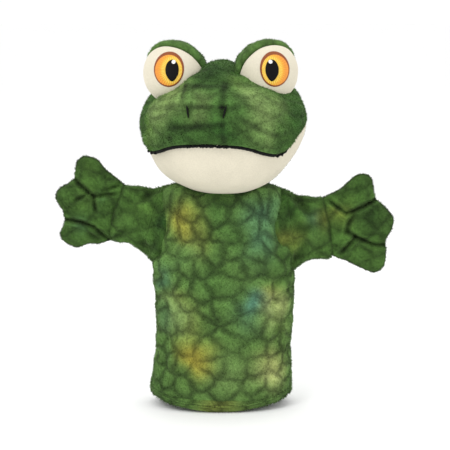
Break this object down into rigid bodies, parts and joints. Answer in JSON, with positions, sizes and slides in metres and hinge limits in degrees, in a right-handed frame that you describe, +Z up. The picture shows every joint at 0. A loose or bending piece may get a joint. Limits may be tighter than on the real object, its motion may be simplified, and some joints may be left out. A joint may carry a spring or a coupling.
{
  "type": "hand puppet",
  "caption": "Plush frog glove puppet with a stuffed head, bulging embroidered eyes, short arms and an open hem for the hand.",
  "frame": {"origin": "on the floor, under the middle of the puppet's box, which stands on its hem", "axes": "+Z up from the hem to the head, -Y the way the body faces, +X the side named right, as seen from the front"},
  "size_m": [0.2474, 0.1034, 0.271],
  "materials": {
    "scale_plush": "short-pile printed plush",
    "green_plush": "short-pile printed plush",
    "cream_plush": "short-pile plush",
    "lining": "woven cotton",
    "fibre_fill": "polyester fibre fill",
    "tube_cloth": "woven cotton",
    "black_thread": "satin-stitch thread",
    "brown_thread": "satin-stitch thread",
    "amber_thread": "satin-stitch thread",
    "white_thread": "satin-stitch thread",
    "label_ribbon": "satin ribbon, blank"
  },
  "bodies": {
    "torso": {"body_front_panel": "scale_plush", "body_back_panel": "scale_plush", "body_lining": "lining", "hem_band": "green_plush", "care_label": "label_ribbon"},
    "neck_outer": {"neck_collar": "green_plush"},
    "neck_inner": {"neck_lining": "lining"},
    "head": {"snout_panel": "green_plush", "chin_panel": "cream_plush", "head_back_panel": "green_plush", "head_stuffing": "fibre_fill", "finger_tube": "tube_cloth", "mouth_line": "black_thread", "left_nostril": "black_thread", "right_nostril": "black_thread", "left_eye_hood": "green_plush", "left_eye_face": "cream_plush", "left_eye_stuffing": "fibre_fill", "left_iris_rim": "brown_thread", "left_iris": "amber_thread", "left_pupil": "black_thread", "left_eye_glint": "white_thread", "right_eye_hood": "green_plush", "right_eye_face": "cream_plush", "right_eye_stuffing": "fibre_fill", "right_iris_rim": "brown_thread", "right_iris": "amber_thread", "right_pupil": "black_thread", "right_eye_glint": "white_thread"},
    "left_shoulder": {"left_armhole_binding": "lining"},
    "left_arm": {"left_sleeve_front": "green_plush", "left_sleeve_back": "green_plush", "left_arm_lining": "lining"},
    "left_hand": {"left_hand_front": "green_plush", "left_hand_back": "green_plush", "left_hand_stuffing": "fibre_fill"},
    "right_shoulder": {"right_armhole_binding": "lining"},
    "right_arm": {"right_sleeve_front": "green_plush", "right_sleeve_back": "green_plush", "right_arm_lining": "lining"},
    "right_hand": {"right_hand_front": "green_plush", "right_hand_back": "green_plush", "right_hand_stuffing": "fibre_fill"}
  },
  "joints": [
    {"name": "head_turn", "type": "hinge", "parent": "torso", "child": "neck_outer", "pos_m": [-0.00085, 0.01383, 0.16], "axis": [0, 0, 1], "range_deg": [-30, 45]},
    {"name": "head_tilt", "type": "hinge", "parent": "neck_outer", "child": "neck_inner", "pos_m": [-0.00085, 0.01383, 0.16], "axis": [0.2419, 0.9703, 0], "range_deg": [-12, 12]},
    {"name": "head_nod", "type": "hinge", "parent": "neck_inner", "child": "head", "pos_m": [-0.00085, 0.01383, 0.16], "axis": [0.9703, -0.2419, 0], "range_deg": [-25, 10]},
    {"name": "left_arm_swing", "type": "hinge", "parent": "torso", "child": "left_shoulder", "pos_m": [-0.04685, 0.01383, 0.1322], "axis": [0, 0, 1], "range_deg": [-15, 45]},
    {"name": "left_arm_raise", "type": "hinge", "parent": "left_shoulder", "child": "left_arm", "pos_m": [-0.04685, 0.01383, 0.1322], "axis": [0, 1, 0], "range_deg": [-33, 20]},
    {"name": "left_hand_bend", "type": "hinge", "parent": "left_arm", "child": "left_hand", "pos_m": [-0.0779, 0.01383, 0.1411], "axis": [0.2756, 0, 0.9613], "range_deg": [-25, 25]},
    {"name": "right_arm_swing", "type": "hinge", "parent": "torso", "child": "right_shoulder", "pos_m": [0.04515, 0.01383, 0.1264], "axis": [0, 0, 1], "range_deg": [-45, 15]},
    {"name": "right_arm_raise", "type": "hinge", "parent": "right_shoulder", "child": "right_arm", "pos_m": [0.04515, 0.01383, 0.1264], "axis": [0, 1, 0], "range_deg": [-27, 25]},
    {"name": "right_hand_bend", "type": "hinge", "parent": "right_arm", "child": "right_hand", "pos_m": [0.07711, 0.01383, 0.13112], "axis": [-0.1461, 0, 0.9893], "range_deg": [-25, 25]}
  ]
}
